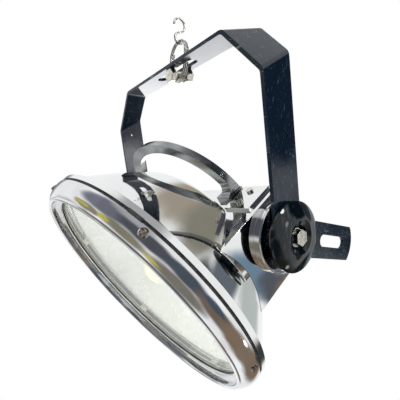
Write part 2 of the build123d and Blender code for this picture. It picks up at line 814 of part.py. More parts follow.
# Lamp holder on a bracket plate inside the dish, and the bulb with its screw cap
holder_back = dish_inner_back + bracket_thickness
holder_front = holder_back + holder_length
socket_back = holder_front - holder_socket_depth
with BuildPart() as holder_bracket:
    with BuildSketch(lamp_back_plane.offset(dish_inner_back)):
        Circle(bracket_r)
        Circle(holder_tail_r + socket_clearance, mode=Mode.SUBTRACT)
        with PolarLocations(bracket_screw_ring_r, bracket_screw_count):
            Circle(bracket_screw_r, mode=Mode.SUBTRACT)
    extrude(amount=bracket_thickness)
finish_piece(holder_bracket, "holder_bracket")

with BuildPart() as bracket_screws:
    with BuildSketch(lamp_back_plane.offset(dish_back - rear_screw_head)):
        with PolarLocations(bracket_screw_ring_r, bracket_screw_count):
            Circle(rear_screw_head_r)
    extrude(amount=rear_screw_head)
    with BuildSketch(lamp_back_plane.offset(dish_back)):
        with PolarLocations(bracket_screw_ring_r, bracket_screw_count):
            Circle(bracket_screw_r)
    extrude(amount=dish_wall + bracket_thickness)
finish_piece(bracket_screws, "bracket_screws")

with BuildPart() as lamp_holder:
    with BuildSketch(lamp_back_plane.offset(holder_back)):
        Circle(holder_r)
    extrude(amount=holder_length)
    with BuildSketch(lamp_back_plane.offset(holder_back)):
        Circle(holder_tail_r)
    extrude(amount=-holder_tail_length)
    with BuildSketch(lamp_back_plane.offset(socket_back)):
        Circle(cap_r + socket_clearance)
    extrude(amount=holder_socket_depth, mode=Mode.SUBTRACT)
finish_piece(lamp_holder, "lamp_holder")

with BuildPart() as bulb_cap:
    with BuildSketch(lamp_back_plane.offset(socket_back)):
        Circle(cap_r)
    extrude(amount=cap_length)
finish_piece(bulb_cap, "bulb_cap")

bulb_start = socket_back + cap_length
globe_neck = bulb_start + bulb_neck_length
globe_centre = globe_neck + sqrt(bulb_r**2 - bulb_neck_r**2)
inner_globe_r = bulb_r - bulb_wall
inner_centre = globe_neck + sqrt(inner_globe_r**2 - (bulb_neck_r - bulb_wall) ** 2)
with BuildPart() as bulb:
    with BuildSketch(lamp_section):
        with BuildLine():
            neck_base = Line((0, bulb_start), (bulb_neck_r, bulb_start))
            neck_side = Line(neck_base @ 1, (bulb_neck_r, globe_neck))
            globe = ThreePointArc(neck_side @ 1, (bulb_r, globe_centre), (0, globe_centre + bulb_r))
            Line(globe @ 1, neck_base @ 0)
        make_face()
    revolve(axis=lamp_axis)
    with BuildSketch(lamp_section):
        with BuildLine():
            inner_base = Line((0, bulb_start), (bulb_neck_r - bulb_wall, bulb_start))
            inner_side = Line(inner_base @ 1, (bulb_neck_r - bulb_wall, globe_neck))
            inner_globe = ThreePointArc(
                inner_side @ 1,
                (inner_globe_r, inner_centre),
                (0, inner_centre + inner_globe_r),
            )
            Line(inner_globe @ 1, inner_base @ 0)
        make_face()
    revolve(axis=lamp_axis, mode=Mode.SUBTRACT)
finish_piece(bulb, "bulb")

# Cradle: a box behind the dish, cut to the dish in front and sloped at the rear, with a service opening
with BuildPart() as cradle:
    with BuildSketch(lamp_side):
        add(cradle_outline(0))
    extrude(amount=cradle_half_width, both=True)
    with BuildSketch(lamp_side):
        add(cradle_outline(cradle_wall))
    extrude(amount=cradle_half_width, both=True, mode=Mode.SUBTRACT)
    with BuildSketch(rear_plane):
        Rectangle(rear_opening_width, rear_opening_height)
    extrude(amount=-2 * cradle_wall, mode=Mode.SUBTRACT)
    with BuildSketch(rear_plane):
        with GridLocations(rear_screw_spacing_x, rear_screw_spacing_y, 2, 2):
            Circle(rear_screw_r + screw_hole_clearance)
    extrude(amount=-2 * cradle_wall, mode=Mode.SUBTRACT)
    for end_x in end_screw_places:
        with BuildSketch(top_plane):
            with Locations((end_x, -end_screw_front), (end_x, -end_screw_rear)):
                Circle(end_screw_r + screw_hole_clearance)
        extrude(amount=-2 * cradle_wall, mode=Mode.SUBTRACT)
    with BuildSketch(top_plane):
        with Locations(*handle_screw_places):
            Circle(handle_screw_r + screw_hole_clearance)
    extrude(amount=-2 * cradle_wall, mode=Mode.SUBTRACT)
    add(dish_form.part, mode=Mode.SUBTRACT)
finish_piece(cradle, "cradle")

# End casting: side plate cut to the dish, flange over the cradle's top, and the pivot boss
with BuildPart() as end_casting_right:
    with BuildSketch(lamp_side.offset(-cradle_half_width)):
        add(cradle_outline(0))
    extrude(amount=-end_plate)
    with BuildSketch(top_plane):
        with Locations((end_outer, cradle_rear_top)):
            Rectangle(
                end_outer - end_flange_inner,
                cradle_rear_top + end_flange_front,
                align=(Align.MAX, Align.MAX),
            )
    extrude(amount=end_flange_thickness)
    add(cheek_block(0))
    add(cheek_block(cheek_wall), mode=Mode.SUBTRACT)
    with BuildSketch(across_plane(cradle_half_width)):
        Circle(hub_r)
    extrude(amount=cheek_face - cradle_half_width)
    with BuildSketch(across_plane(cheek_face)):
        Circle(boss_r)
    extrude(amount=boss_end - cheek_face)
    chamfer(end_casting_right.edges().filter_by(GeomType.CIRCLE).sort_by(Axis.X)[-1], boss_edge)
    with BuildSketch(across_plane(cradle_half_width)):
        Circle(washer_bore_r)
    extrude(amount=boss_end - cradle_half_width, mode=Mode.SUBTRACT)
    with BuildSketch(top_plane):
        with Locations((end_screw_x, -end_screw_front), (end_screw_x, -end_screw_rear)):
            Circle(end_screw_r + screw_hole_clearance)
    extrude(amount=end_flange_thickness, mode=Mode.SUBTRACT)
    add(dish_form.part, mode=Mode.SUBTRACT)
finish_piece(end_casting_right, "end_casting_right")

with BuildPart() as end_casting_left:
    mirror(end_casting_right.part, about=lamp_middle)
finish_piece(end_casting_left, "end_casting_left")

with BuildPart() as end_screws:
    for end_x in end_screw_places:
        with BuildSketch(top_plane.offset(end_flange_thickness)):
            with Locations((end_x, -end_screw_front), (end_x, -end_screw_rear)):
                Circle(end_screw_head_r)
        extrude(amount=end_screw_head)
        with BuildSketch(top_plane.offset(end_flange_thickness)):
            with Locations((end_x, -end_screw_front), (end_x, -end_screw_rear)):
                Circle(end_screw_r)
        extrude(amount=-end_screw_length)
finish_piece(end_screws, "end_screws")

# Bow handle: an arch seen from the front, narrow at the grip and spread forwards at its feet
with BuildPart() as handle:
    with BuildSketch(lamp_face.offset(-cradle_rear_top)):
        with Locations((0, cradle_top)):
            Ellipse(handle_outer_a, handle_outer_h)
            Ellipse(handle_outer_a - handle_depth, handle_outer_h - handle_depth, mode=Mode.SUBTRACT)
            Rectangle(
                2 * handle_outer_a,
                handle_outer_h,
                align=(Align.CENTER, Align.MAX),
                mode=Mode.SUBTRACT,
            )
        foot_middle = (handle_foot_inner + handle_foot_outer) / 2
        with Locations((-foot_middle, cradle_top), (foot_middle, cradle_top)):
            Rectangle(
                handle_foot_outer - handle_foot_inner,
                handle_foot_thickness,
                align=(Align.CENTER, Align.MIN),
            )
    extrude(amount=2 * cradle_rear_top)
    with BuildSketch(lamp_side):
        with BuildLine():
            crown = cradle_top + handle_outer_h
            foot_top = cradle_top + handle_foot_thickness
            waist = cradle_top + handle_foot_rise
            lean = (handle_rear_base - handle_rear_crown) / handle_outer_h
            waist_front = handle_grip_width - handle_rear_base + lean * handle_foot_rise
            Polyline(
                (-handle_foot_front, foot_top),
                (-handle_foot_front, cradle_top),
                (-handle_rear_base, cradle_top),
            )
            Line((-handle_rear_base, cradle_top), (-handle_rear_crown, crown))
            Line((-handle_rear_crown, crown), (handle_grip_width - handle_rear_crown, crown))
            Line((handle_grip_width - handle_rear_crown, crown), (waist_front, waist))
            TangentArc(
                (waist_front, waist),
                (-handle_foot_front, foot_top),
                tangent=(waist_front - handle_grip_width + handle_rear_crown, waist - crown),
            )
        make_face()
    extrude(amount=handle_foot_outer, both=True, mode=Mode.INTERSECT)
    with BuildSketch(top_plane):
        with Locations(*handle_screw_places):
            Circle(handle_screw_r)
    extrude(amount=handle_screw_depth, mode=Mode.SUBTRACT)
    add(dish_form.part, mode=Mode.SUBTRACT)
finish_piece(handle, "handle")

with BuildPart() as handle_screws:
    with BuildSketch(top_plane.offset(-cradle_wall)):
        with Locations(*handle_screw_places):
            Circle(handle_screw_head_r)
    extrude(amount=-handle_screw_head)
    with BuildSketch(top_plane.offset(-cradle_wall)):
        with Locations(*handle_screw_places):
            Circle(handle_screw_r)
    extrude(amount=cradle_wall + handle_screw_depth)
finish_piece(handle_screws, "handle_screws")

# Rear cover with its screws, cable gland, terminal block and earth screw
with BuildPart() as rear_cover:
    with BuildSketch(rear_plane):
        RectangleRounded(cover_width, cover_height, rear_cover_margin / 2)
        Circle(gland_thread_r + gland_clearance, mode=Mode.SUBTRACT)
        with GridLocations(rear_screw_spacing_x, rear_screw_spacing_y, 2, 2):
            Circle(rear_screw_r + screw_hole_clearance, mode=Mode.SUBTRACT)
        with Locations((earth_screw_offset, 0)):
            Circle(rear_screw_r + screw_hole_clearance, mode=Mode.SUBTRACT)
    extrude(amount=rear_cover_thickness)
finish_piece(rear_cover, "rear_cover")

cover_outside = rear_plane.offset(rear_cover_thickness)
with BuildPart() as rear_screws:
    with BuildSketch(cover_outside):
        with GridLocations(rear_screw_spacing_x, rear_screw_spacing_y, 2, 2):
            Circle(rear_screw_head_r)
    extrude(amount=rear_screw_head)
    with BuildSketch(cover_outside):
        with GridLocations(rear_screw_spacing_x, rear_screw_spacing_y, 2, 2):
            Circle(rear_screw_r)
    extrude(amount=-(rear_cover_thickness + cradle_wall))
finish_piece(rear_screws, "rear_screws")

with BuildPart() as cable_gland:
    with BuildSketch(cover_outside):
        RegularPolygon(gland_collar_r, 6)
    extrude(amount=gland_collar_height)
    with BuildSketch(cover_outside.offset(gland_collar_height)):
        Circle(gland_thread_r)
    extrude(amount=gland_nut_height)
    with BuildSketch(cover_outside):
        Circle(gland_thread_r)
    extrude(amount=-(rear_cover_thickness + gland_inside))
    with BuildSketch(cover_outside.offset(gland_collar_height + gland_nut_height)):
        Circle(gland_bore_r)
    extrude(amount=-gland_length, mode=Mode.SUBTRACT)
finish_piece(cable_gland, "cable_gland")

with BuildPart() as gland_nut:
    with BuildSketch(cover_outside.offset(gland_collar_height)):
        Circle(gland_collar_r)
        Circle(gland_thread_r, mode=Mode.SUBTRACT)
    extrude(amount=gland_nut_height)
    chamfer(gland_nut.edges().filter_by(GeomType.CIRCLE).group_by(rear_axis)[-1], boss_edge)
finish_piece(gland_nut, "gland_nut")

with BuildPart() as gland_locknut:
    with BuildSketch(rear_plane):
        RegularPolygon(gland_collar_r, 6)
        Circle(gland_thread_r, mode=Mode.SUBTRACT)
    extrude(amount=-gland_locknut_height)
finish_piece(gland_locknut, "gland_locknut")

with BuildPart() as terminal_block:
    with BuildSketch(rear_plane):
        with Locations((-block_offset, 0)):
            Rectangle(block_length, block_width)
    extrude(amount=-block_height)
finish_piece(terminal_block, "terminal_block")

with BuildPart() as earth_screw:
    with BuildSketch(rear_plane.offset(rear_cover_thickness)):
        with Locations((earth_screw_offset, 0)):
            Circle(rear_screw_head_r)
    extrude(amount=rear_screw_head)
    with BuildSketch(rear_plane.offset(rear_cover_thickness)):
        with Locations((earth_screw_offset, 0)):
            Circle(rear_screw_r)
    extrude(amount=-(rear_cover_thickness + gland_inside))
finish_piece(earth_screw, "earth_screw")
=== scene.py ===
# %% [markdown]
# A ceiling lamp head of polished aluminium hangs here in a black flat-bar yoke.
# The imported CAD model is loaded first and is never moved. Each piece that shows well as it is
# gets a better material, and each piece whose edges or curves show close up is made again.

# %% Load the frame
import bpy
import json
from math import atan2, cos, degrees, pi, radians, sin, sqrt
from mathutils import Matrix, Vector


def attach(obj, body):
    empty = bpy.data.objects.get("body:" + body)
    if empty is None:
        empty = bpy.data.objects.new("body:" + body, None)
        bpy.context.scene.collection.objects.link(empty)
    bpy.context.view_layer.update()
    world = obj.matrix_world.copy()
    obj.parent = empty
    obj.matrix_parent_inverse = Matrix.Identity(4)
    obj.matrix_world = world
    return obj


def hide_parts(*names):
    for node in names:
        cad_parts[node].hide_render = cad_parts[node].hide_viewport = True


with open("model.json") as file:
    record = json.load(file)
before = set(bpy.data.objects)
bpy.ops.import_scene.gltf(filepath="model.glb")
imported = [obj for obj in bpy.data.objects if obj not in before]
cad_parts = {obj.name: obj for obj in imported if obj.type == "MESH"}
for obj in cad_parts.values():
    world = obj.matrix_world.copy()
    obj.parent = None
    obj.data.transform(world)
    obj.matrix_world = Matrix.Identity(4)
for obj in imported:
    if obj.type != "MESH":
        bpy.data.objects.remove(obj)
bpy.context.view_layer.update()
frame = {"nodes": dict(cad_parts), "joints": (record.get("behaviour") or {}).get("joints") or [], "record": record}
nodes = frame["nodes"]


def in_mm(place):
    """A place in whole millimetres, for printing."""
    return [round(value * 1000) for value in place]


# %% [markdown]
# The head hangs on the pivot of the record's head_tilt joint and looks forwards and down. Its round
# pieces are drawn upright round the Z axis, where they are easy to measure, and then turned into
# place once, with the turn applied. One matrix holds that turn, so that all of them agree.

# %% Places and directions
LAMP_TIP = radians(37.8)
LAMP_AXIS_DROP = 0.007
PIVOT = next(Vector(joint["pos_m"]) for joint in frame["joints"] if joint["name"] == "head_tilt")
lamp_side = Vector((1, 0, 0))
lamp_forward = Vector((0, -cos(LAMP_TIP), -sin(LAMP_TIP)))
lamp_up = Vector((0, -sin(LAMP_TIP), cos(LAMP_TIP)))
lamp_centre = PIVOT - lamp_up * LAMP_AXIS_DROP


def turned_to(x_dir, y_dir, z_dir):
    """Matrix that turns the X, Y and Z axes to three directions."""
    return Matrix((x_dir, y_dir, z_dir)).transposed()


lamp_turn = turned_to(lamp_side, lamp_forward.cross(lamp_side), lamp_forward)
lamp_place = Matrix.Translation(lamp_centre) @ lamp_turn.to_4x4()
print("lamp axis starts in mm at", in_mm(lamp_centre))

# %% [markdown]
# The camera stands close to the lamp, right of its front, so near things look much larger than far
# ones. A close camera with a wide lens gives that; the shift keeps the frame where the photograph
# has it, without turning the camera.

# %% Camera
CAMERA_FROM_PIVOT = Vector((0.4139, -0.3415, 0.0444))
CAMERA_TURN = radians(57.38)
CAMERA_RISE = radians(3.80)
CAMERA_ROLL = radians(0.20)
CAMERA_LENS = 27.1
SENSOR_WIDTH = 36.0
CAMERA_SHIFT = (0.1015, 0.052)
NEAREST_SEEN = 0.01

camera_back = Vector((
    sin(CAMERA_TURN) * cos(CAMERA_RISE), -cos(CAMERA_TURN) * cos(CAMERA_RISE), sin(CAMERA_RISE)))
level = Vector((cos(CAMERA_TURN), sin(CAMERA_TURN), 0))
upright = camera_back.cross(level)
camera_right = level * cos(CAMERA_ROLL) + upright * sin(CAMERA_ROLL)
camera_up = upright * cos(CAMERA_ROLL) - level * sin(CAMERA_ROLL)

bpy.ops.object.select_all(action="DESELECT")
bpy.ops.object.camera_add(location=PIVOT + CAMERA_FROM_PIVOT)
camera = bpy.context.object
camera.name = "photo_camera"
camera.rotation_euler = turned_to(camera_right, camera_up, camera_back).to_euler()
camera.data.lens = CAMERA_LENS
camera.data.sensor_width = SENSOR_WIDTH
camera.data.shift_x, camera.data.shift_y = CAMERA_SHIFT
camera.data.clip_start = NEAREST_SEEN
bpy.context.scene.camera = camera
print("camera in mm at", in_mm(camera.location))

# %% [markdown]
# Polished metal shows the room, so the room matters as much as the metal. This is a white studio, made
# of a pale floor and a pale surround. A Light Path node tells what kind of ray arrives: the camera,
# mirrors and glass see plain white, while all other rays find a matt floor and a soft pale sky, which
# light the lamp without burning it out. The floor and the surround end in the same way, so one helper
# does it for both.

# %% Helpers for a white studio
WHITE = (1, 1, 1, 1)


def join_values(tree, operation, first, second):
    """Joins two values by one operation."""
    step = tree.nodes.new("ShaderNodeMath")
    step.operation = operation
    tree.links.new(first, step.inputs[0])
    tree.links.new(second, step.inputs[1])
    return step.outputs[0]


def end_in_white(tree, plain, white_kind, output_kind):
    """Ends a tree in white for the camera, mirrors and glass, and in its plain shader for the rest."""
    path = tree.nodes.new("ShaderNodeLightPath")
    seen = join_values(tree, "MAXIMUM", path.outputs["Is Camera Ray"], path.outputs["Is Glossy Ray"])
    seen = join_values(tree, "MAXIMUM", seen, path.outputs["Is Transmission Ray"])
    white = tree.nodes.new(white_kind)
    white.inputs["Color"].default_value = WHITE
    blend = tree.nodes.new("ShaderNodeMixShader")
    tree.links.new(seen, blend.inputs[0])
    tree.links.new(plain.outputs[0], blend.inputs[1])
    tree.links.new(white.outputs[0], blend.inputs[2])
    tree.links.new(blend.outputs[0], tree.nodes.new(output_kind).inputs[0])


# %% [markdown]
# The floor lies well below the hanging lamp, outside the photograph's frame, and is as wide as needed
# for no edge to show. Its matt side sends a soft light up into the dish.

# %% Floor
FLOOR_HEIGHT = -1.35
FLOOR_REACH = 30.0
FLOOR_COLOUR = (0.9, 0.9, 0.9, 1)

bpy.ops.object.select_all(action="DESELECT")
bpy.ops.mesh.primitive_plane_add(size=2 * FLOOR_REACH, location=(0, 0, FLOOR_HEIGHT))
floor = bpy.context.object
floor.name = "studio_floor"
floor_finish = bpy.data.materials.new("pale_floor")
floor_finish.use_nodes = True
tree = floor_finish.node_tree
tree.nodes.clear()
matt = tree.nodes.new("ShaderNodeBsdfDiffuse")
matt.inputs["Color"].default_value = FLOOR_COLOUR
end_in_white(tree, matt, "ShaderNodeEmission", "ShaderNodeOutputMaterial")
floor.data.materials.append(floor_finish)
floor.visible_glossy = False
print("floor", floor.name, "at height", FLOOR_HEIGHT)

# %% [markdown]
# The world stands in for a large pale room. It lights from every side at once, just under full
# strength, so that pale metal keeps its own tone.

# %% Surround
SKY_COLOUR = (0.97, 0.98, 1.0, 1)
SKY_STRENGTH = 0.85

world = bpy.data.worlds.new("white_surround")
bpy.context.scene.world = world
world.use_nodes = True
tree = world.node_tree
tree.nodes.clear()
soft = tree.nodes.new("ShaderNodeBackground")
soft.inputs["Color"].default_value = SKY_COLOUR
soft.inputs["Strength"].default_value = SKY_STRENGTH
end_in_white(tree, soft, "ShaderNodeBackground", "ShaderNodeOutputWorld")
bpy.context.scene.view_settings.view_transform = "Standard"
print("surround", world.name)

# %% [markdown]
# Four large soft lamps stand round the piece: in front, low in front, at the right and behind. Each is
# a disc that faces the lamp head. Mirrors don't see them, because a bright disc in the polished metal
# would hide the lines that the next cells draw there.

# %% Soft lamps
LAMPS = (  # name, place, width, watts
    ("key_softbox", (-0.6, -1.9, 1.0), 0.9, 16.0),
    ("low_softbox", (-0.4, -1.7, -1.0), 1.0, 12.0),
    ("side_softbox", (2.0, 0.6, 1.6), 0.8, 10.0),
    ("back_softbox", (-1.6, 1.6, 1.2), 1.0, 10.0),
)
for lamp_name, place, size, watts in LAMPS:
    bpy.ops.object.select_all(action="DESELECT")
    bpy.ops.object.light_add(type="AREA", location=place)
    lamp = bpy.context.object
    lamp.name = lamp_name
    lamp.data.shape = "DISK"
    lamp.data.size = size
    lamp.data.energy = watts
    lamp.rotation_euler = (Vector(place) - lamp_centre).to_track_quat("Z", "Y").to_euler()
    lamp.visible_glossy = False
print("lamps", len(LAMPS))

# %% [markdown]
# A mirror in an all-white room is a white shape. A studio hangs dark and tinted cards round bright
# metal, and the metal takes its lines from them. Here the cards are soft round patches on one large
# shell round the lamp. Only mirror rays see the shell, so it neither lights nor shades anything.
# First comes the shell. A noise bends the direction in which each point of it lies, so that the
# cards' edges waver as they do in metal that was spun and polished by hand.

# %% Shell round the lamp
ROOM_REACH = 8.0
ROOM_SPLITS = 5
ROOM_WOBBLE = 0.15
WOBBLE_SCALE = 5.0
WOBBLE_DETAIL = 5.0
NOISE_MIDDLE = (0.5, 0.5, 0.5)


def vector_step(tree, operation, first, second=None):
    """One step of vector maths on a link and, where it needs one, a second link or a fixed value."""
    step = tree.nodes.new("ShaderNodeVectorMath")
    step.operation = operation
    tree.links.new(first, step.inputs[0])
    if isinstance(second, bpy.types.NodeSocket):
        tree.links.new(second, step.inputs[1])
    elif second is not None:
        step.inputs["Scale" if operation == "SCALE" else 1].default_value = second
    return step.outputs["Value" if operation == "DOT_PRODUCT" else "Vector"]


bpy.ops.object.select_all(action="DESELECT")
bpy.ops.mesh.primitive_ico_sphere_add(subdivisions=ROOM_SPLITS, radius=ROOM_REACH, location=lamp_centre)
room = bpy.context.object
room.name = "tinted_room"
room.visible_camera = False
room.visible_diffuse = False
room.visible_transmission = False
room.visible_volume_scatter = False
room.visible_shadow = False

room_finish = bpy.data.materials.new("tinted_room_walls")
room_finish.use_nodes = True
room.data.materials.append(room_finish)
tree = room_finish.node_tree
tree.nodes.clear()
direction = vector_step(tree, "NORMALIZE", tree.nodes.new("ShaderNodeTexCoord").outputs["Object"])
wobble = tree.nodes.new("ShaderNodeTexNoise")
wobble.inputs["Scale"].default_value = WOBBLE_SCALE
wobble.inputs["Detail"].default_value = WOBBLE_DETAIL
tree.links.new(direction, wobble.inputs["Vector"])
bend = vector_step(tree, "SUBTRACT", wobble.outputs["Color"], NOISE_MIDDLE)
bend = vector_step(tree, "SCALE", bend, ROOM_WOBBLE)
bent_direction = vector_step(tree, "NORMALIZE", vector_step(tree, "ADD", direction, bend))
print("shell faces", len(room.data.polygons))

# %% [markdown]
# Now the cards. Each is set by the way that it lies in, seen from the lamp: its turn round the lamp
# and its height, in degrees. It is full colour within its inner angle and fades out to its outer one.
# A later card covers an earlier one. The windows are bright and keep their straight edges, so they
# read the direction before it is bent.

# %% Tinted cards on the shell
ROOM_WHITE = (0.93, 0.95, 0.96)
CARDS = (  # name, turn, height, inner angle, outer angle, colour
    ("dark_left", -97, 40, 21, 33, (0.17, 0.18, 0.22)),
    ("dark_right", -52, 22, 20, 34, (0.085, 0.09, 0.11)),
    ("slate_low", -22, -3, 18, 30, (0.075, 0.095, 0.12)),
    ("brown_front", -60, -35, 16, 30, (0.20, 0.19, 0.16)),
    ("brown_right", -2, -34, 17, 30, (0.17, 0.13, 0.10)),
    ("brown_back", 30, -52, 18, 30, (0.23, 0.175, 0.125)),
    ("brown_far", 78, -50, 15, 26, (0.20, 0.15, 0.11)),
    ("slate_strip", 3, -19, 8, 16, (0.065, 0.09, 0.12)),
    ("olive_front", -92, -4, 12, 24, (0.25, 0.24, 0.18)),
    ("olive_left", -122, 6, 8, 14, (0.24, 0.22, 0.16)),
    ("yellow_far", -126, 9, 3, 6, (0.50, 0.46, 0.10)),
    ("yellow_left", -107, 3, 4, 8, (0.58, 0.53, 0.08)),
    ("yellow_right", -80, -24, 4, 8, (0.62, 0.56, 0.05)),
    ("grey_overhead", -40, 64, 12, 30, (0.40, 0.41, 0.43)),
    ("dark_beyond_arm", 54, 23, 14, 18, (0.03, 0.035, 0.05)),
    ("dark_strip", 64, -3, 5, 9, (0.03, 0.04, 0.05)),
    ("dark_back", 84, -27, 11, 16, (0.04, 0.05, 0.06)),
    ("blue_strip", 49, -13, 3, 7, (0.16, 0.24, 0.34)),
    ("grey_strip", 53, -16, 2.5, 5, (0.09, 0.10, 0.12)),
    ("rust_strip", 57, -18, 3, 6, (0.24, 0.16, 0.11)),
    ("beige_overhead", 108, 42, 10, 24, (0.36, 0.32, 0.26)),
    ("beige_back", 86, 36, 8, 18, (0.24, 0.23, 0.19)),
    ("grey_back", 76, 14, 7, 13, (0.13, 0.15, 0.18)),
    ("pale_back", 92, -7, 9, 18, (0.50, 0.54, 0.53)),
    ("window_far_left", 140, -12, 8, 16, (3.5, 3.5, 3.6)),
    ("grey_far_left", 178, 11, 5, 13, (0.22, 0.25, 0.30)),
    ("grey_low_left", -150, -20, 12, 28, (0.30, 0.31, 0.30)),
    ("window_low", 28, 9, 1.0, 4.5, (5.0, 5.0, 5.1)),
    ("window_high", 22, 30, 3, 5, (26.0, 26.0, 26.0)),
    ("window_floor", 46, -37, 0.5, 4, (5.0, 5.3, 5.6)),
)

walls = None
for card_name, turn, height, inner, outer, colour in CARDS:
    turn, height = radians(turn), radians(height)
    middle = (cos(turn) * cos(height), sin(turn) * cos(height), sin(height))
    looked_at = direction if card_name.startswith("window") else bent_direction
    fade = tree.nodes.new("ShaderNodeMapRange")
    fade.interpolation_type = "SMOOTHSTEP"
    fade.inputs["From Min"].default_value = cos(radians(outer))
    fade.inputs["From Max"].default_value = cos(radians(inner))
    tree.links.new(vector_step(tree, "DOT_PRODUCT", looked_at, middle), fade.inputs["Value"])
    layer = tree.nodes.new("ShaderNodeMix")
    layer.data_type = "RGBA"
    layer.clamp_result = False
    layer.label = card_name
    below, above = [socket for socket in layer.inputs if socket.type == "RGBA"]
    below.default_value = (*ROOM_WHITE, 1)
    above.default_value = (*colour, 1)
    if walls is not None:
        tree.links.new(walls, below)
    tree.links.new(fade.outputs["Result"], layer.inputs["Factor"])
    walls = next(socket for socket in layer.outputs if socket.type == "RGBA")
glow = tree.nodes.new("ShaderNodeEmission")
tree.links.new(walls, glow.inputs["Color"])
tree.links.new(glow.outputs[0], tree.nodes.new("ShaderNodeOutputMaterial").inputs[0])
print("cards", len(CARDS))

# %% [markdown]
# Materials. A single flat colour never looks like a finished surface, so every finish starts from
# plain values on one shader, and patterns then change them from place to place.

# %% Starting a finish


def shader_input(material, socket):
    """One input of a material's only shader."""
    return material.node_tree.nodes["Principled BSDF"].inputs[socket]


def start_finish(name, metallic, roughness, colour):
    """Material with one shader, at its plain values."""
    material = bpy.data.materials.new(name)
    material.use_nodes = True
    shader_input(material, "Metallic").default_value = metallic
    shader_input(material, "Roughness").default_value = roughness
    shader_input(material, "Base Color").default_value = (*colour, 1)
    return material


# %% [markdown]
# Clouds, grain, scuffs and scratches are all one noise at different sizes. It reads the piece's own
# Object coordinates, so it stays on the piece when that moves, and a stretch draws it out into lines.

# %% A noise pattern


def noise_in(material, scale, detail=4.0, stretch=(1, 1, 1), distortion=0.0):
    """Noise on Object coordinates, stretched where the real marks run one way."""
    tree = material.node_tree
    mapping = tree.nodes.new("ShaderNodeMapping")
    mapping.inputs["Scale"].default_value = stretch
    noise = tree.nodes.new("ShaderNodeTexNoise")
    noise.inputs["Scale"].default_value = scale
    noise.inputs["Detail"].default_value = detail
    noise.inputs["Distortion"].default_value = distortion
    place = tree.nodes.new("ShaderNodeTexCoord")
    tree.links.new(place.outputs["Object"], mapping.inputs["Vector"])
    tree.links.new(mapping.outputs["Vector"], noise.inputs["Vector"])
    return noise.outputs["Fac"]


# %% [markdown]
# A pattern runs from 0 to 1, mostly near its middle. A map picks the part of it that counts and
# stretches that part to the values wanted. A colour ramp does the same for colours.

# %% Colour, roughness and bumps from a pattern


def spread(material, pattern, low, high, bottom, top):
    """Maps a pattern from bottom..top to low..high."""
    mapping = material.node_tree.nodes.new("ShaderNodeMapRange")
    mapping.inputs["From Min"].default_value = bottom
    mapping.inputs["From Max"].default_value = top
    mapping.inputs["To Min"].default_value = low
    mapping.inputs["To Max"].default_value = high
    material.node_tree.links.new(pattern, mapping.inputs["Value"])
    return mapping.outputs["Result"]


def colour_by(material, pattern, *stops):
    """Colours the surface by a pattern, between two (place, colour) stops."""
    tree = material.node_tree
    ramp = tree.nodes.new("ShaderNodeValToRGB")
    for index, (place, colour) in enumerate(stops):
        ramp.color_ramp.elements[index].position = place
        ramp.color_ramp.elements[index].color = (*colour, 1)
    tree.links.new(pattern, ramp.inputs["Fac"])
    tree.links.new(ramp.outputs["Color"], shader_input(material, "Base Color"))


def roughness_by(material, pattern, low, high, bottom, top):
    """Makes the surface smoother and rougher by a pattern."""
    rough = spread(material, pattern, low, high, bottom, top)
    material.node_tree.links.new(rough, shader_input(material, "Roughness"))


def bump_by(material, pattern, strength, distance):
    """Raises and sinks the surface a little by a pattern."""
    tree = material.node_tree
    bump = tree.nodes.new("ShaderNodeBump")
    bump.inputs["Strength"].default_value = strength
    bump.inputs["Distance"].default_value = distance
    tree.links.new(pattern, bump.inputs["Height"])
    tree.links.new(bump.outputs["Normal"], shader_input(material, "Normal"))


# %% [markdown]
# The housing is bright aluminium. The dish and the end walls are polished to a mirror, the handle is
# a duller casting, and the bezel is a rolled ring that was polished a little less than the dish. One
# recipe makes all three. Large clouds tint the metal, partly with tarnish and partly with painted
# reflection of the room; the casting's dark greys are painted reflection of dark surroundings. A finer
# haze changes its roughness, and slow waves bend what it mirrors.

# %% Polished aluminium
CLOUD_START, CLOUD_END = 0.35, 0.70
HAZE_START, HAZE_END = 0.35, 0.75
WAVE_DEPTH = 0.004


def polished_metal(name, smooth, rough, wave, colours, cloud):
    """Bright metal between two colours in clouds of tarnish and painted reflection, haze and slow waves."""
    metal = start_finish(name, metallic=1.0, roughness=smooth, colour=colours[0])
    # The clouds' colours are partly tarnish and partly painted reflection.
    tarnish_and_painted_reflection = noise_in(metal, cloud, detail=7.0, distortion=0.8)
    colour_by(metal, tarnish_and_painted_reflection, (CLOUD_START, colours[0]), (CLOUD_END, colours[1]))
    haze = noise_in(metal, 40.0, detail=8.0)
    roughness_by(metal, haze, smooth, rough, HAZE_START, HAZE_END)
    waves = noise_in(metal, 9.0, detail=3.0, distortion=0.4)
    bump_by(metal, waves, wave, WAVE_DEPTH)
    return metal


# All three carry painted reflection in their colours: the casting's dark greys wholly, the others' tones in part.
mirror_aluminium = polished_metal(
    "mirror_aluminium", smooth=0.02, rough=0.08, wave=0.16,
    colours=((0.90, 0.91, 0.90), (0.82, 0.81, 0.79)), cloud=9.0)
cast_finish = polished_metal(
    "polished_casting", smooth=0.12, rough=0.28, wave=0.35,
    colours=((0.42, 0.43, 0.43), (0.20, 0.21, 0.22)), cloud=14.0)
bezel_finish = polished_metal(
    "bezel_aluminium", smooth=0.05, rough=0.16, wave=0.22,
    colours=((0.92, 0.93, 0.95), (0.72, 0.70, 0.70)), cloud=14.0)
print("metals", mirror_aluminium.name, cast_finish.name, bezel_finish.name)

# %% [markdown]
# The yoke and the bar are steel under a dark blue-black gloss paint. Years of handling have left
# scuffs in places and hair-fine scratches. Both are stretched noise with all but its peaks cut off:
# the scuffs are kept only where a larger pattern allows them, and the scratches lie all over.

# %% Black paint on the yoke and bar
PAINT = (0.0035, 0.010, 0.022)
SCRATCH = (0.07, 0.095, 0.11)
PAINT_SPECULAR = 0.40

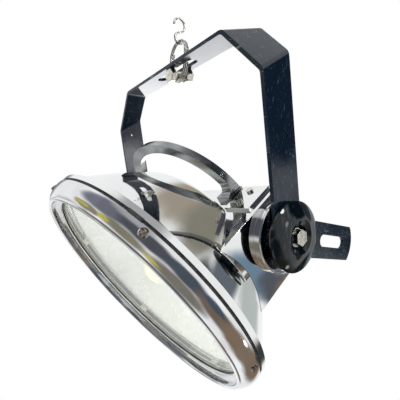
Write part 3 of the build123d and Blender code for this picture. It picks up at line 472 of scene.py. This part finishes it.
black_gloss = start_finish("black_gloss", metallic=0.0, roughness=0.10, colour=PAINT)
shader_input(black_gloss, "Specular IOR Level").default_value = PAINT_SPECULAR
where = noise_in(black_gloss, 13.0, detail=4.0)
scuffs = noise_in(black_gloss, 150.0, detail=9.0, stretch=(1, 0.25, 1), distortion=3.0)
hairlines = noise_in(black_gloss, 90.0, detail=3.0, stretch=(0.3, 6.0, 1.0), distortion=1.5)
worn = join_values(
    black_gloss.node_tree, "MULTIPLY",
    spread(black_gloss, scuffs, low=0.0, high=1.0, bottom=0.60, top=0.66),
    spread(black_gloss, where, low=0.0, high=1.0, bottom=0.46, top=0.62))
marks = join_values(
    black_gloss.node_tree, "MAXIMUM", worn,
    spread(black_gloss, hairlines, low=0.0, high=1.0, bottom=0.64, top=0.68))
colour_by(black_gloss, marks, (0.0, PAINT), (1.0, SCRATCH))
roughness_by(black_gloss, where, low=0.05, high=0.22, bottom=0.35, top=0.7)
bump_by(black_gloss, noise_in(black_gloss, 60.0), strength=0.10, distance=0.0008)
print("paint", black_gloss.name)

# %% [markdown]
# The pivot discs are pressed and stoved on their own, so their black is deeper and smoother than the
# paint, with only a few fine lines.

# %% Black of the pivot discs
DISC_BLACK = (0.001, 0.004, 0.006)
DISC_LINE = (0.06, 0.085, 0.10)

disc_gloss = start_finish("disc_gloss", metallic=0.0, roughness=0.04, colour=DISC_BLACK)
shader_input(disc_gloss, "Specular IOR Level").default_value = PAINT_SPECULAR
hairlines = noise_in(disc_gloss, 70.0, detail=3.0, stretch=(1.0, 5.0, 0.4), distortion=2.0)
colour_by(disc_gloss, hairlines, (0.65, DISC_BLACK), (0.69, DISC_LINE))
roughness_by(disc_gloss, noise_in(disc_gloss, 30.0), low=0.03, high=0.09, bottom=0.4, top=0.7)
bump_by(disc_gloss, noise_in(disc_gloss, 45.0, detail=3.0), strength=0.08, distance=0.0008)
print("paint", disc_gloss.name)

# %% [markdown]
# The smaller parts are wire, plated and rusting screws, rubber, glass, a silvered reflector, porcelain,
# brass, fibre and plastic. They share one recipe: a grain at the size of that material's own marks
# moves the colour between a darker and a lighter tone, and a finer haze may move the roughness.

# %% Recipe for a small part


def mottled(name, metallic, roughness, plain, grain, dark, light, haze=None):
    """Finish whose colour follows a grain, and whose roughness may follow a haze.

    grain is the noise's (scale, detail), dark and light are its (place, colour) stops, and haze is
    (scale, detail, low, high, bottom, top).
    """
    finish = start_finish(name, metallic, roughness, plain)
    colour_by(finish, noise_in(finish, *grain), dark, light)
    if haze is not None:
        scale, detail, *limits = haze
        roughness_by(finish, noise_in(finish, scale, detail), *limits)
    return finish


# %% [markdown]
# The hook, the sling and the fasteners are plated steel, duller on the wire than on the bolts. The
# bezel's screws have begun to rust, and the cable gland is turned from brass.

# %% Wire, screws and brass
wire_steel = mottled(
    "wire_steel", metallic=1.0, roughness=0.3, plain=(0.66, 0.66, 0.62), grain=(260.0, 5.0),
    dark=(0.3, (0.42, 0.40, 0.36)), light=(0.7, (0.82, 0.82, 0.78)),
    haze=(500.0, 4.0, 0.2, 0.45, 0.3, 0.7))
plated_steel = mottled(
    "plated_steel", metallic=1.0, roughness=0.22, plain=(0.78, 0.76, 0.68), grain=(180.0, 6.0),
    dark=(0.35, (0.60, 0.56, 0.45)), light=(0.65, (0.86, 0.85, 0.80)),
    haze=(700.0, 4.0, 0.15, 0.4, 0.3, 0.7))
aged_screw = mottled(
    "aged_screw", metallic=0.8, roughness=0.4, plain=(0.16, 0.09, 0.05), grain=(420.0, 6.0),
    dark=(0.4, (0.07, 0.04, 0.02)), light=(0.66, (0.42, 0.36, 0.28)))
turned_brass = mottled(
    "turned_brass", metallic=1.0, roughness=0.2, plain=(0.80, 0.62, 0.28), grain=(90.0, 4.0),
    dark=(0.3, (0.62, 0.46, 0.20)), light=(0.7, (0.86, 0.69, 0.34)),
    haze=(400.0, 4.0, 0.14, 0.34, 0.3, 0.7))
print("metals", wire_steel.name, plated_steel.name, aged_screw.name, turned_brass.name)

# %% [markdown]
# Inside the head everything is pale. The front pane is a thin tinted skin that lets most of the view
# through. Real refraction would fill the inside with grain at few samples, and a thin flat pane hardly
# bends the view, so Alpha does the work.

# %% Glass, reflector and porcelain
PANE_ALPHA = 0.22
PANE_IOR = 1.5

front_glass = mottled(
    "front_glass", metallic=0.0, roughness=0.03, plain=(0.90, 0.94, 0.88), grain=(6.0, 2.0),
    dark=(0.3, (0.92, 0.95, 0.89)), light=(0.7, (0.98, 0.985, 0.95)),
    haze=(20.0, 5.0, 0.01, 0.06, 0.45, 0.8))
shader_input(front_glass, "Alpha").default_value = PANE_ALPHA
shader_input(front_glass, "IOR").default_value = PANE_IOR
bulb_glass = mottled(
    "bulb_glass", metallic=0.0, roughness=0.25, plain=(0.98, 0.93, 0.62), grain=(25.0, 4.0),
    dark=(0.3, (0.98, 0.92, 0.52)), light=(0.7, (0.97, 0.94, 0.70)))
reflector_silver = mottled(
    "reflector_silver", metallic=0.35, roughness=0.3, plain=(0.90, 0.93, 0.87), grain=(7.0, 3.0),
    dark=(0.3, (0.86, 0.90, 0.83)), light=(0.7, (0.93, 0.94, 0.90)),
    haze=(30.0, 4.0, 0.22, 0.36, 0.3, 0.7))
porcelain = mottled(
    "porcelain", metallic=0.0, roughness=0.15, plain=(0.88, 0.86, 0.80), grain=(45.0, 4.0),
    dark=(0.3, (0.82, 0.79, 0.72)), light=(0.7, (0.90, 0.88, 0.84)))
print("inside", front_glass.name, bulb_glass.name, reflector_silver.name, porcelain.name)

# %% [markdown]
# The seals, the friction washers and the terminal block are dull. Rubber has a very fine bump as well,
# because its skin copies the mould that it was pressed in.

# %% Rubber, fibre and plastic
gasket_rubber = mottled(
    "gasket_rubber", metallic=0.0, roughness=0.7, plain=(0.03, 0.03, 0.03), grain=(120.0, 4.0),
    dark=(0.35, (0.015, 0.015, 0.015)), light=(0.75, (0.07, 0.07, 0.065)))
bump_by(gasket_rubber, noise_in(gasket_rubber, 900.0), strength=0.3, distance=0.0003)
lining_fibre = mottled(
    "lining_fibre", metallic=0.0, roughness=0.85, plain=(0.30, 0.22, 0.15), grain=(600.0, 4.0),
    dark=(0.3, (0.18, 0.13, 0.09)), light=(0.7, (0.36, 0.27, 0.19)))
block_plastic = mottled(
    "block_plastic", metallic=0.0, roughness=0.5, plain=(0.84, 0.82, 0.76), grain=(70.0, 4.0),
    dark=(0.3, (0.78, 0.76, 0.69)), light=(0.7, (0.86, 0.85, 0.80)))
print("materials", len(bpy.data.materials))

# %% [markdown]
# Each CAD node that stays gets its finish here, by its material slot in the record. The bezel's screws
# are more rusted than the other fasteners, and the discs have their own black. The pane casts no
# shadow, so that light reaches the reflector behind it.

# %% Finishes by slot
FINISH_OF_SLOT = {
    "hook_wire": wire_steel,
    "plated_steel": plated_steel,
    "black_paint": black_gloss,
    "polished_aluminium": mirror_aluminium,
    "cast_aluminium": cast_finish,
    "gasket_rubber": gasket_rubber,
    "friction_lining": lining_fibre,
    "front_glass": front_glass,
    "bulb_glass": bulb_glass,
    "reflector_mirror": reflector_silver,
    "porcelain": porcelain,
    "brass": turned_brass,
    "terminal_plastic": block_plastic,
}
slot_of = {part["node"]: part["material_slot"] for part in frame["record"]["subparts"]}
for node, piece in nodes.items():
    for material_slot in piece.material_slots:
        material_slot.material = FINISH_OF_SLOT[slot_of[node]]
nodes["bezel_screws"].material_slots[0].material = aged_screw
for side in ("left", "right"):
    nodes[f"pivot_disc_{side}"].material_slots[0].material = disc_gloss
nodes["glass"].visible_shadow = False
print("finished CAD nodes", len(nodes))

# %% [markdown]
# A made piece takes the place of its CAD node: it gets a finish, rides on the same body and hides the
# node. One helper does all three, so that none is forgotten.

# %% Putting a made piece in its node's place
body_of_node = {
    node: body for body, members in frame["record"]["behaviour"]["bodies"].items() for node in members}


def finish_piece(piece, node, finish):
    """Puts a made piece in its node's place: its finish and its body."""
    piece.data.materials.clear()
    piece.data.materials.append(finish)
    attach(piece, body_of_node[node])
    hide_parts(node)
    print(piece.name, "faces", len(piece.data.polygons))


# %% [markdown]
# Bent bar, plate and castings have no knife-sharp edges: shears, grinding and paint round them a
# little, and that narrow round catches a line of light. A copy of the CAD node is merged into one
# skin, its flat faces are joined, and a bevel rounds its edges. Drawing these pieces anew would risk
# leaving the places that the CAD gives them, and a copy can't. The copy drops the node's custom
# properties, because they mark it as a CAD node.

# %% Rounded copies
MERGE_GAP = 0.00001
FLAT_WITHIN = radians(0.6)
EDGE_FROM = radians(40)
SMOOTH_BELOW = radians(35)


def rounded_copy(node, name, width, segments, finish):
    """Copy of a CAD node with its sharp edges rounded, put in the node's place."""
    bpy.ops.object.select_all(action="DESELECT")
    piece = nodes[node].copy()
    piece.data = nodes[node].data.copy()
    piece.name = name
    piece.parent = None
    for key in list(piece.keys()):
        del piece[key]
    bpy.context.scene.collection.objects.link(piece)
    piece.select_set(True)
    bpy.context.view_layer.objects.active = piece
    bpy.ops.object.mode_set(mode="EDIT")
    bpy.ops.mesh.select_all(action="SELECT")
    bpy.ops.mesh.remove_doubles(threshold=MERGE_GAP)
    bpy.ops.mesh.dissolve_limited(angle_limit=FLAT_WITHIN)
    bpy.ops.object.mode_set(mode="OBJECT")
    bevel = piece.modifiers.new("rounded_edges", "BEVEL")
    bevel.width = width
    bevel.segments = segments
    bevel.limit_method = "ANGLE"
    bevel.angle_limit = EDGE_FROM
    bevel.harden_normals = False
    bpy.ops.object.modifier_apply(modifier=bevel.name)
    bpy.ops.object.shade_smooth_by_angle(angle=SMOOTH_BELOW)
    even = piece.modifiers.new("flat_faces_stay_flat", "WEIGHTED_NORMAL")
    even.keep_sharp = True
    bpy.ops.object.modifier_apply(modifier=even.name)
    finish_piece(piece, node, finish)


# %% [markdown]
# The yoke is one flat bar bent twice, and the slotted bar is a piece of the same stock. Sheared bar
# keeps a narrow round under its paint.

# %% Yoke and slotted bar
BAR_ROUND = (0.0009, 3)  # width, segments

rounded_copy("yoke", "yoke_band", *BAR_ROUND, black_gloss)
rounded_copy("slotted_bar", "slotted_bar_plate", *BAR_ROUND, black_gloss)

# %% [markdown]
# The bow handle is a casting, so its edges are far rounder than those of bar: molten metal doesn't
# fill a sharp corner, and a hand that moves the lamp wants none.

# %% Handle
HANDLE_ROUND = (0.0030, 4)

rounded_copy("handle", "handle_casting", *HANDLE_ROUND, cast_finish)

# %% [markdown]
# The cradle behind the dish and the wall at each end of it are polished sheet and plate. Their edges
# are only broken by the polishing wheel.

# %% Cradle and end walls
SHEET_ROUND = (0.0008, 2)

rounded_copy("cradle", "cradle_box", *SHEET_ROUND, mirror_aluminium)
rounded_copy("end_casting_right", "end_wall_right", *SHEET_ROUND, mirror_aluminium)
rounded_copy("end_casting_left", "end_wall_left", *SHEET_ROUND, mirror_aluminium)

# %% [markdown]
# The two pivot bolts and the strap's bolt and nut show their hexagons close to the camera. A forged
# head has a small round on every edge, and plating leaves it bright.

# %% Pivot bolts, strap bolt and nut
BOLT_ROUND = (0.0007, 2)

rounded_copy("pivot_bolts", "pivot_bolt_pair", *BOLT_ROUND, plated_steel)
rounded_copy("cross_bolt", "strap_bolt", *BOLT_ROUND, plated_steel)
rounded_copy("cross_nut", "strap_bolt_nut", *BOLT_ROUND, plated_steel)

# %% [markdown]
# The dish and the bezel were spun and rolled from sheet, so each is one profile turned round the
# lamp's axis. A single vertex is pushed along the profile and spun. Many steps keep a mirror's
# reflections clean, where the longer triangles of the CAD mesh would break them.

# %% Spinning a profile
SPIN_STEPS = 192
START_SIZE = 0.001
WELD_GAP = 0.000005
SPUN_SMOOTH_BELOW = radians(30)


def spun_piece(name, profile):
    """Turns a closed profile of (radius, forward) points round Z, then puts the piece in place."""
    bpy.ops.object.select_all(action="DESELECT")
    bpy.ops.mesh.primitive_plane_add(size=START_SIZE)
    piece = bpy.context.object
    piece.name = name
    bpy.ops.object.mode_set(mode="EDIT")
    bpy.ops.mesh.select_all(action="SELECT")
    bpy.ops.mesh.merge(type="CENTER")
    points = [Vector((radius, 0, forward)) for radius, forward in profile]
    points.append(points[0])
    bpy.ops.transform.translate(value=points[0])
    for before, after in zip(points, points[1:]):
        bpy.ops.mesh.extrude_region_move(TRANSFORM_OT_translate={"value": after - before})
    bpy.ops.mesh.select_all(action="SELECT")
    bpy.ops.mesh.spin(steps=SPIN_STEPS, angle=2 * pi, center=(0, 0, 0), axis=(0, 0, 1))
    bpy.ops.mesh.select_all(action="SELECT")
    bpy.ops.mesh.remove_doubles(threshold=WELD_GAP)
    bpy.ops.mesh.normals_make_consistent(inside=False)
    bpy.ops.object.mode_set(mode="OBJECT")
    piece.matrix_world = lamp_place
    bpy.ops.object.transform_apply(location=True, rotation=True, scale=True)
    bpy.ops.object.shade_smooth_by_angle(angle=SPUN_SMOOTH_BELOW)
    return piece


# %% [markdown]
# A profile is mostly arcs. One helper draws an arc from its centre, and one draws the arc through
# three places, which is how the curves were read: two ends and a point between them.

# %% Arcs in a profile


def arc_points(centre, radius, start, end, count):
    """Points on an arc round a centre, with its angles in degrees from the radius direction."""
    angles = [radians(start + (end - start) * index / (count - 1)) for index in range(count)]
    return [(centre[0] + radius * cos(angle), centre[1] + radius * sin(angle)) for angle in angles]


def arc_through(first, middle, last, count):
    """Points on the arc through three places."""
    (ax, ay), (bx, by), (cx, cy) = first, middle, last
    a_square, b_square, c_square = ax**2 + ay**2, bx**2 + by**2, cx**2 + cy**2
    scale = 2 * (ax * (by - cy) + bx * (cy - ay) + cx * (ay - by))
    centre_x = (a_square * (by - cy) + b_square * (cy - ay) + c_square * (ay - by)) / scale
    centre_y = (a_square * (cx - bx) + b_square * (ax - cx) + c_square * (bx - ax)) / scale
    start = atan2(ay - centre_y, ax - centre_x)
    turn = atan2(cy - centre_y, cx - centre_x) - start
    half = atan2(by - centre_y, bx - centre_x) - start
    turn = (turn + pi) % (2 * pi) - pi
    half = (half + pi) % (2 * pi) - pi
    if half * turn < 0 or abs(half) > abs(turn):
        turn -= 2 * pi if turn > 0 else -2 * pi
    radius = sqrt((ax - centre_x) ** 2 + (ay - centre_y) ** 2)
    angles = [start + turn * index / (count - 1) for index in range(count)]
    return [(centre_x + radius * cos(angle), centre_y + radius * sin(angle)) for angle in angles]


# %% [markdown]
# Sheet has the same thickness everywhere, so its inner side is its outer side moved inwards. Each
# point moves square to the line through its neighbours.

# %% The sheet's inner side


def inset_profile(points, depth):
    """The same open profile, moved inwards (towards the lamp's axis and front) by depth."""
    moved = []
    for index, (radius, forward) in enumerate(points):
        before = points[max(index - 1, 0)]
        after = points[min(index + 1, len(points) - 1)]
        run = Vector((after[0] - before[0], after[1] - before[1])).normalized()
        moved.append((radius - run.y * depth, forward + run.x * depth))
    return moved


# %% [markdown]
# The dish is a spun shell: a flat back with a hole behind the lamp holder, a tight corner, a swelling
# flank and a mouth whose edge is turned out into a rim. Its profile runs out along the outer side,
# round the rim's turned edge, and back along the inner side. All places are (radius, forward) from
# the lamp's centre.

# %% Dish
DISH_BACK, DISH_FLAT = 0.004, 0.096
DISH_SHEET = 0.002
BACK_HOLE, BACK_RING = (0.026, DISH_BACK), (0.060, DISH_BACK)
SHOULDER, FLANK_MIDDLE, MOUTH = (0.143, 0.030), (0.178, 0.086), (0.203, 0.1329)
TURNED_EDGE = [
    (0.2018, 0.1318), (0.2032, 0.1316), (0.2032, 0.1262), (0.2046, 0.1258),
    (0.2052, 0.1262), (0.2052, 0.1318), (0.2052, 0.1340), (0.2012, 0.1340)]

corner_run, corner_rise = SHOULDER[0] - DISH_FLAT, SHOULDER[1] - DISH_BACK
corner_radius = (corner_run**2 + corner_rise**2) / (2 * corner_rise)
corner_sweep = degrees(2 * atan2(corner_rise, corner_run))
corner = arc_points(
    (DISH_FLAT, DISH_BACK + corner_radius), corner_radius, start=-90, end=corner_sweep - 90, count=18)
flank = arc_through(SHOULDER, FLANK_MIDDLE, MOUTH, count=26)
outside = [BACK_HOLE, BACK_RING] + corner + flank[1:]
inside = inset_profile(outside, DISH_SHEET)
dish_shell = spun_piece("dish_shell", outside[:-1] + TURNED_EDGE + inside[-2::-1])
finish_piece(dish_shell, "dish", mirror_aluminium)

# %% [markdown]
# The bezel is the bright ring that holds the pane. Seen in section it swells out from the seam, rolls
# over a narrow lip at the front, steps in to the ledge that the pane sits on, and is hollow behind.

# %% Bezel
BEZEL_BACK, BEZEL_FRONT = 0.138, 0.164
SWELL_START, SWELL_MIDDLE = (0.2050, BEZEL_BACK), (0.2016, 0.1520)
ROLL_START, LIP_TOP, ROLL_END = (0.1935, 0.1610), (0.1905, BEZEL_FRONT), (0.1875, 0.1610)
PANE_LEDGE = [
    (0.1868, 0.1520), (0.1868, 0.1512), (0.1790, 0.1512), (0.1790, 0.1490),
    (0.1868, 0.1490), (0.1862, 0.1400), (0.1860, BEZEL_BACK), (0.1882, BEZEL_BACK)]
BEZEL_HOLLOW = [
    (0.1888, 0.1490), (0.1895, 0.1590), (0.1915, 0.1612), (0.1925, 0.1590),
    (0.1975, 0.1530), (0.2018, 0.1460), (0.2028, BEZEL_BACK)]

swell = arc_through(SWELL_START, SWELL_MIDDLE, ROLL_START, count=16)
lip = arc_through(ROLL_START, LIP_TOP, ROLL_END, count=12)
bezel_ring = spun_piece("bezel_ring", swell + lip[1:] + PANE_LEDGE + BEZEL_HOLLOW)
print("bezel faces", len(bezel_ring.data.polygons))

# %% [markdown]
# Six screws hold the bezel. Each sits in a flat-bottomed hollow, milled so that its head can seat
# square on the curved rim. A cutter of six short drums, each with a thin drill below it, is taken
# from the ring with a Boolean modifier, as the mill took the metal.

# %% Cutter for the screw hollows
SCREW_COUNT = 6
FIRST_SCREW = radians(41.5)
SCREW_FROM_BACK = 0.0075
DRILL_SIDES = 40
HOLLOW_SEAT = 0.2024
DRILLS = (  # radius, and how far from the lamp's axis it starts and ends
    (0.0060, HOLLOW_SEAT, 0.2080),
    (0.0028, 0.1930, 0.2030),
)

screw_level = Vector((0, 0, BEZEL_BACK + SCREW_FROM_BACK))
bpy.ops.object.select_all(action="DESELECT")
drills = []
for number in range(SCREW_COUNT):
    angle = FIRST_SCREW + number * 2 * pi / SCREW_COUNT
    outward = Vector((cos(angle), sin(angle), 0))
    for drill_radius, low, high in DRILLS:
        bpy.ops.mesh.primitive_cylinder_add(
            vertices=DRILL_SIDES, radius=drill_radius, depth=high - low,
            location=outward * (low + high) / 2 + screw_level,
            rotation=outward.to_track_quat("Z", "Y").to_euler())
        drills.append(bpy.context.object)
for drill in drills:
    drill.select_set(True)
cutter = drills[0]
bpy.context.view_layer.objects.active = cutter
bpy.ops.object.join()
bpy.ops.object.transform_apply(location=True, rotation=True, scale=True)
cutter.matrix_world = lamp_place
print("drums and drills", len(drills))

# %% [markdown]
# The modifier subtracts the cutter, and applying it leaves the hollows in the ring's own mesh. Then
# the cutter goes, and the ring takes the place of its node.

# %% Milling the hollows
hollows = bezel_ring.modifiers.new("screw_hollows", "BOOLEAN")
hollows.operation = "DIFFERENCE"
hollows.use_self = True
hollows.object = cutter
bpy.ops.object.select_all(action="DESELECT")
bezel_ring.select_set(True)
bpy.context.view_layer.objects.active = bezel_ring
bpy.ops.object.modifier_apply(modifier=hollows.name)
bpy.data.objects.remove(cutter)
bpy.ops.object.shade_smooth_by_angle(angle=SPUN_SMOOTH_BELOW)
finish_piece(bezel_ring, "bezel", bezel_finish)
